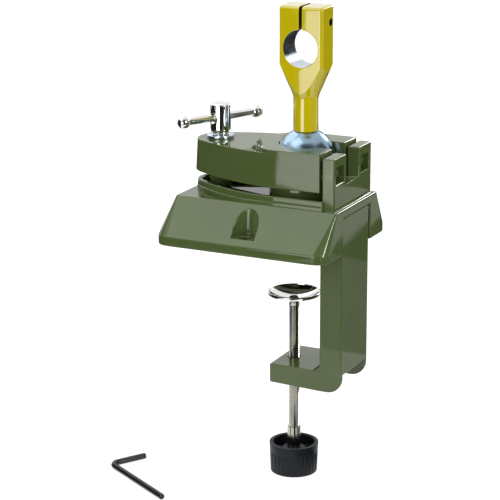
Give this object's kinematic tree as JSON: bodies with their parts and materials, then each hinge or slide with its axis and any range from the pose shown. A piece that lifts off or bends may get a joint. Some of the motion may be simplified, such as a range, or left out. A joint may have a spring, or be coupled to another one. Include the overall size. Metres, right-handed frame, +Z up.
{
  "type": "universal work holder",
  "caption": "Bench-edge work holder: a split collar on a lockable ball, gripped between a cast base and a lever jaw, with a threaded clamp arm below.",
  "frame": {"origin": "on the bench plane under the base, on the axis of the clamp spindle", "axes": "+X towards the clamp arm, -Y towards the pictured front, +Z up"},
  "size_m": [0.1307, 0.1137, 0.2611],
  "materials": {
    "green_paint": "glossy green paint on a die casting",
    "yellow_paint": "glossy yellow paint",
    "ball_steel": "zinc-plated, lightly turned",
    "chrome": "polished",
    "zinc_steel": "zinc-plated",
    "nickel_steel": "nickel-plated",
    "black_plastic": "moulded, fine grain",
    "black_steel": "black oxide"
  },
  "bodies": {
    "base": {"base_casting": "green_paint", "screw_nut": "zinc_steel", "clamp_arm": "green_paint", "arm_screws": "zinc_steel", "arm_washers": "zinc_steel", "spindle_bush": "zinc_steel"},
    "jaw": {"clamp_jaw": "green_paint"},
    "washer": {"screw_washer": "zinc_steel"},
    "screw": {"clamp_screw": "chrome"},
    "bar": {"tommy_bar": "chrome", "bar_end_balls": "chrome"},
    "ball": {"ball_stud": "ball_steel"},
    "holder": {"collar_holder": "yellow_paint"},
    "pinch": {"pinch_screw": "zinc_steel"},
    "plate": {"pressure_plate": "chrome"},
    "spindle": {"spindle": "nickel_steel", "plate_rivet": "chrome", "clamp_knob": "black_plastic"},
    "key": {"hex_key": "black_steel"}
  },
  "joints": [
    {"name": "screw_lift", "type": "slide", "parent": "base", "child": "washer", "axis": [0, 0, 1], "range_m": [0, 0.003]},
    {"name": "screw_turn", "type": "hinge", "parent": "washer", "child": "screw", "pos_m": [-0.0444, 0, 0.0636], "axis": [0, 0, 1], "range_deg": [0, 864]},
    {"name": "bar_slide", "type": "slide", "parent": "screw", "child": "bar", "axis": [0.4695, 0.8829, 0], "range_m": [-0.015, 0.015]},
    {"name": "jaw_tilt", "type": "hinge", "parent": "base", "child": "jaw", "pos_m": [0.027, 0, 0.04285], "axis": [0, 1, 0], "range_deg": [0, 2.1]},
    {"name": "ball_tilt", "type": "hinge", "parent": "base", "child": "ball", "pos_m": [0.0064, 0, 0.0462], "axis": [0, 1, 0], "range_deg": [-30, 90]},
    {"name": "holder_turn", "type": "hinge", "parent": "ball", "child": "holder", "pos_m": [0.0064, 0, 0.0462], "axis": [0, 0, 1], "continuous": true},
    {"name": "pinch_turn", "type": "hinge", "parent": "holder", "child": "pinch", "pos_m": [0.0064, 0.003, 0.1191], "axis": [1, 0, 0], "continuous": true},
    {"name": "plate_travel", "type": "slide", "parent": "base", "child": "plate", "axis": [0, 0, 1], "range_m": [-0.03, 0.028]},
    {"name": "spindle_turn", "type": "hinge", "parent": "plate", "child": "spindle", "pos_m": [0, 0, -0.08], "axis": [0, 0, 1], "range_deg": [-10800, 10080]},
    {"name": "key_lift", "type": "slide", "parent": "base", "child": "key", "axis": [0, 0, 1], "range_m": [0, 0.06]}
  ],
  "couplings": [
    {"joint": "screw_turn", "follows": "screw_lift", "rad_per_m": 5026.5},
    {"joint": "jaw_tilt", "follows": "screw_lift", "rad_per_m": 12},
    {"joint": "spindle_turn", "follows": "plate_travel", "rad_per_m": 6283.2}
  ]
}
